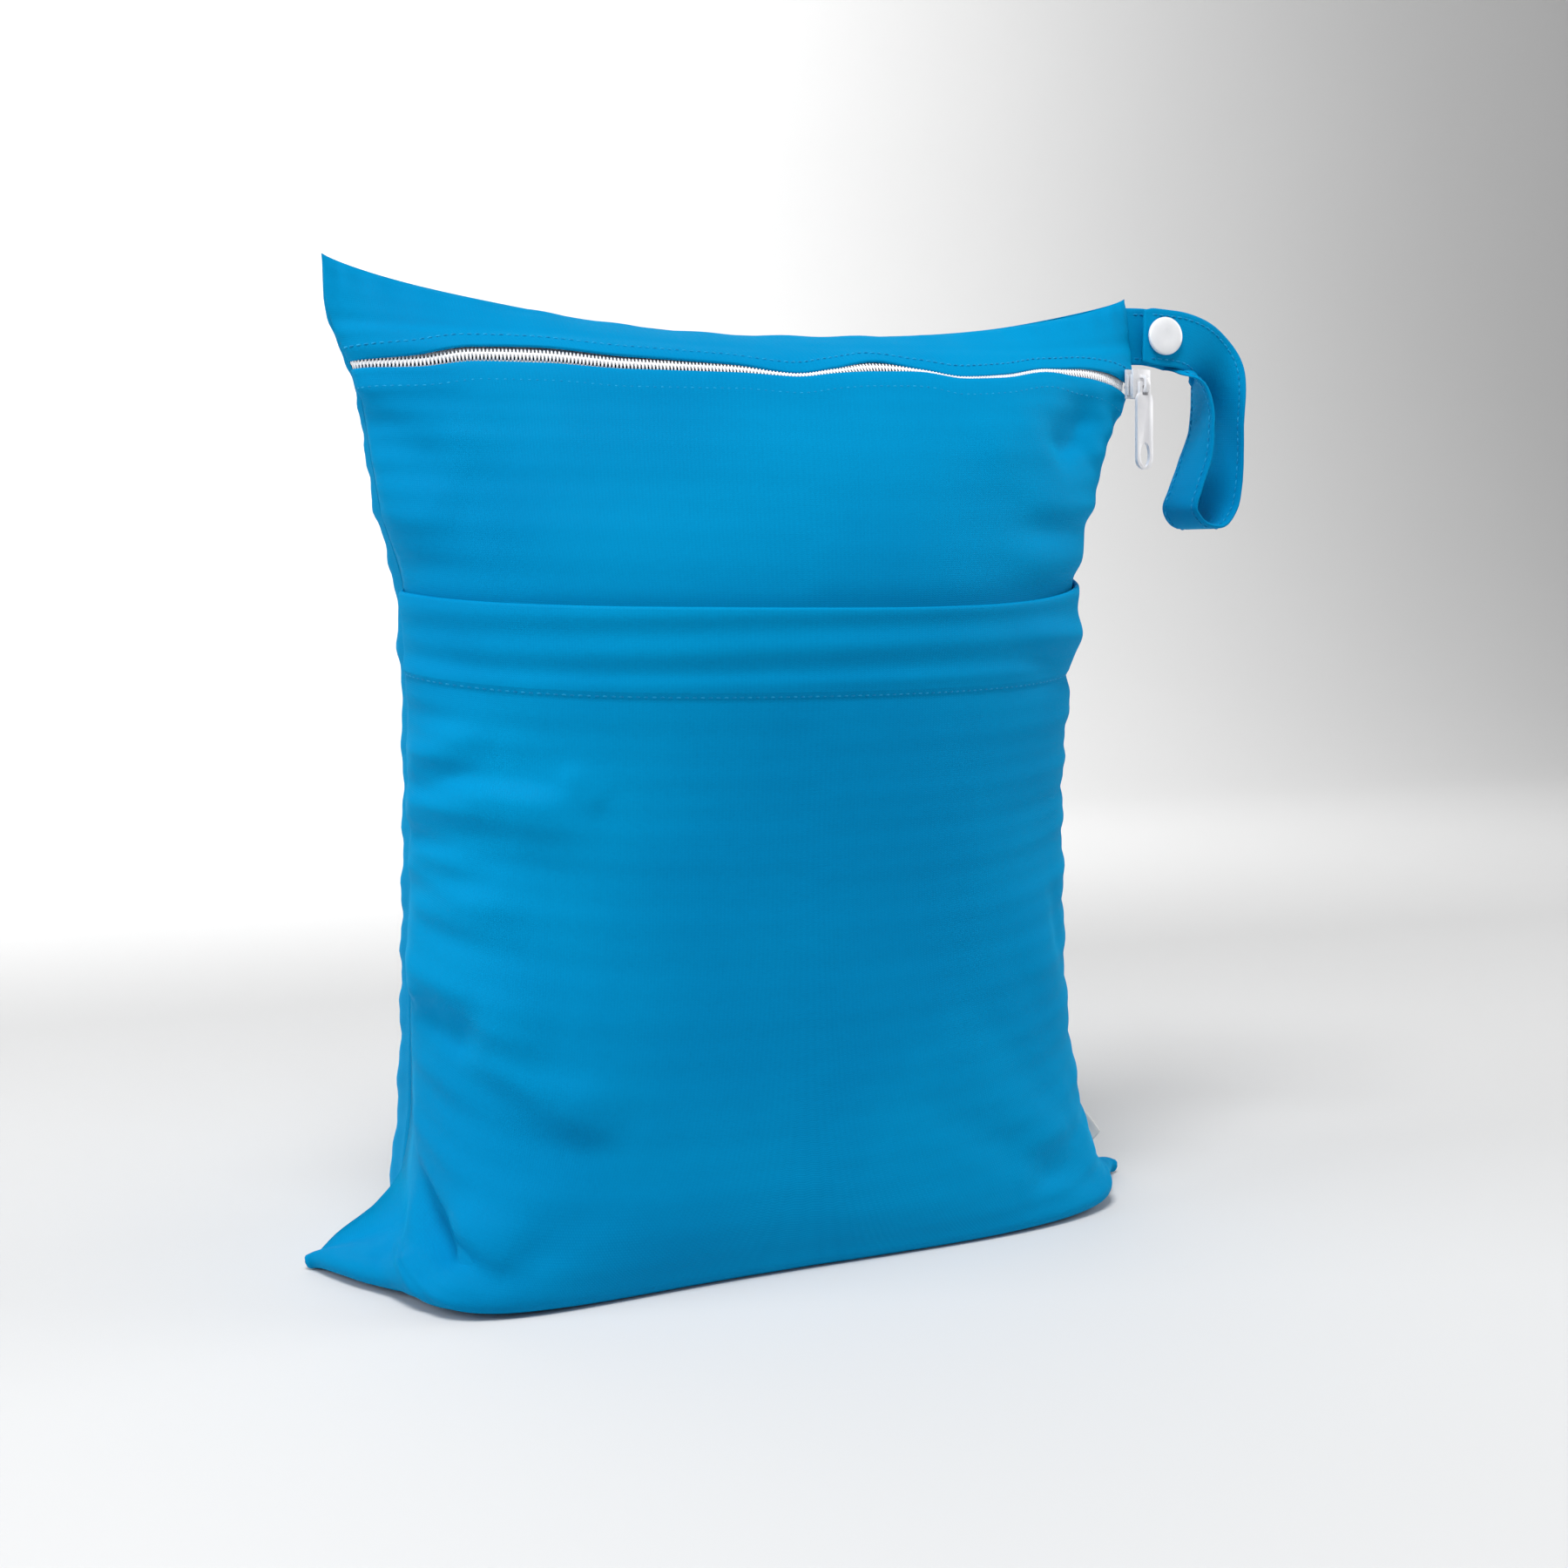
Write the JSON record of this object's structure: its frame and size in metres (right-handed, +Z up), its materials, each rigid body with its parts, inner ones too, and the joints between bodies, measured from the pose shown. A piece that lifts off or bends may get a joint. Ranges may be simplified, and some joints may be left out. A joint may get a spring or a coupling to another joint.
{
  "type": "zipped wet bag",
  "caption": "Soft zipped wet bag of knit cloth, stuffed and standing on its base, with an open front pocket, coil zipper, hanging pull, side label and a wrist strap closed by a snap.",
  "frame": {"origin": "middle of the base of the whole part's box, on the surface that the bag stands on", "axes": "+X to the right of the front, where the strap is; the front with the pocket faces -Y; +Z up"},
  "size_m": [0.3462, 0.129, 0.3214],
  "materials": {
    "cloth": "bright blue waterproof knit with a soft sheen",
    "tape": "white woven zipper tape",
    "coil": "white nylon coil",
    "enamel": "white enamel over zinc",
    "snap": "glossy white resin",
    "label": "plain satin ribbon"
  },
  "bodies": {
    "bag": {"back_panel": "cloth", "front_panel": "cloth", "pocket_panel": "cloth", "top_strip": "cloth", "wrist_strap": "cloth", "zipper_tape_upper": "tape", "zipper_tape_lower": "tape", "zipper_chain": "coil", "zipper_slider": "enamel", "snap_cap": "snap", "snap_core": "snap", "snap_back_cap": "snap", "side_label": "label"},
    "pull": {"zipper_pull": "enamel"}
  },
  "joints": [
    {"name": "pull_hinge", "type": "hinge", "parent": "bag", "child": "pull", "pos_m": [0.12263, -0.01061, 0.28853], "axis": [0.9781, 0.2079, 0], "range_deg": [-160, 3]}
  ]
}
